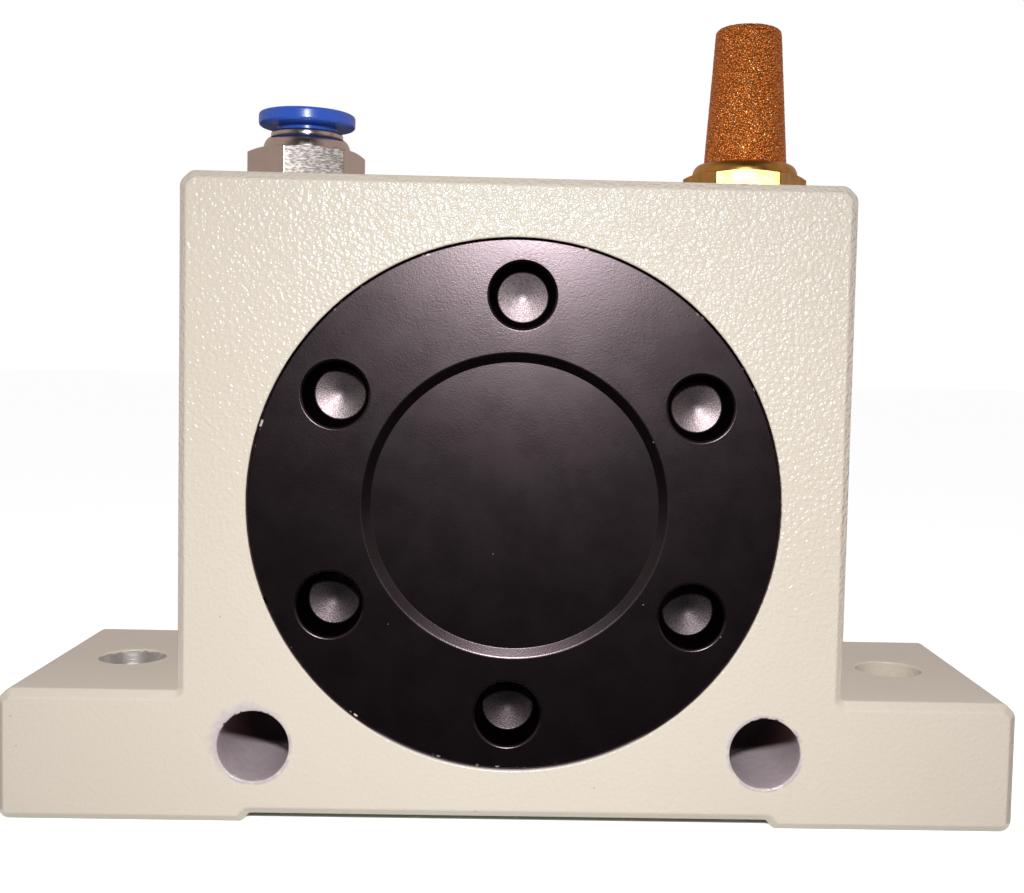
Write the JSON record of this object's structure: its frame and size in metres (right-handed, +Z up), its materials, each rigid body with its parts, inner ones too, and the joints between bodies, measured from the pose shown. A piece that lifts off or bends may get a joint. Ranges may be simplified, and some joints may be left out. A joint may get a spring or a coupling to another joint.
{
  "type": "pneumatic vibration motor",
  "caption": "Footed block with a flush black cover, push-in air inlet and bronze silencer on top; an unbalanced air turbine inside shakes what it is bolted to.",
  "frame": {"origin": "on the ground under the middle of the block", "axes": "+X along the feet towards the silencer, -Y towards the front cover, +Z up"},
  "size_m": [0.158, 0.046, 0.1286],
  "materials": {
    "cream_powder_coat": "textured cream powder coat on machined aluminium",
    "black_anodised": "satin black anodised turned aluminium",
    "nitrile_rubber": "matt black nitrile",
    "machined_aluminium": "turned and milled aluminium",
    "turned_steel": "turned and ground steel",
    "bearing_steel": "ground and polished bearing steel",
    "pressed_steel": "pressed steel strip",
    "spring_steel": "dark spring steel",
    "nickel_plate": "nickel-plated brass",
    "blue_plastic": "moulded blue acetal",
    "turned_brass": "turned brass",
    "sintered_bronze": "sintered bronze grains"
  },
  "bodies": {
    "frame": {"housing": "cream_powder_coat", "front_cover": "black_anodised", "rear_cover": "black_anodised", "front_cover_seal": "nitrile_rubber", "rear_cover_seal": "nitrile_rubber", "bearing_shim": "pressed_steel", "inlet_body": "nickel_plate", "inlet_guide_ring": "nickel_plate", "inlet_grab_ring": "spring_steel", "inlet_backing_ring": "turned_brass", "inlet_tube_seal": "nitrile_rubber", "silencer_body": "turned_brass", "silencer_element": "sintered_bronze", "front_bearing_outer_ring": "bearing_steel", "front_bearing_shields": "pressed_steel", "rear_bearing_outer_ring": "bearing_steel", "rear_bearing_shields": "pressed_steel"},
    "rotor": {"rotor": "machined_aluminium", "rotor_weights": "turned_steel", "rotor_shaft": "turned_steel", "rotor_key": "turned_steel", "rotor_circlip": "spring_steel", "front_bearing_inner_ring": "bearing_steel", "rear_bearing_inner_ring": "bearing_steel"},
    "front_cage": {"front_bearing_cage": "pressed_steel", "front_bearing_balls": "bearing_steel"},
    "rear_cage": {"rear_bearing_cage": "pressed_steel", "rear_bearing_balls": "bearing_steel"},
    "release_collar": {"inlet_release_collar": "blue_plastic"}
  },
  "joints": [
    {"name": "rotor_spin", "type": "hinge", "parent": "frame", "child": "rotor", "pos_m": [0, 0, 0.05], "axis": [0, -1, 0], "continuous": true},
    {"name": "front_cage_spin", "type": "hinge", "parent": "frame", "child": "front_cage", "pos_m": [0, 0, 0.05], "axis": [0, -1, 0], "continuous": true},
    {"name": "rear_cage_spin", "type": "hinge", "parent": "frame", "child": "rear_cage", "pos_m": [0, 0, 0.05], "axis": [0, -1, 0], "continuous": true},
    {"name": "release_collar_press", "type": "slide", "parent": "frame", "child": "release_collar", "axis": [0, 0, -1], "range_m": [0, 0.0008], "stiffness_N_per_m": 500, "springref_m": -0.002}
  ],
  "couplings": [
    {"joint": "front_cage_spin", "follows": "rotor_spin", "ratio": 0.39868},
    {"joint": "rear_cage_spin", "follows": "rotor_spin", "ratio": 0.39868}
  ]
}
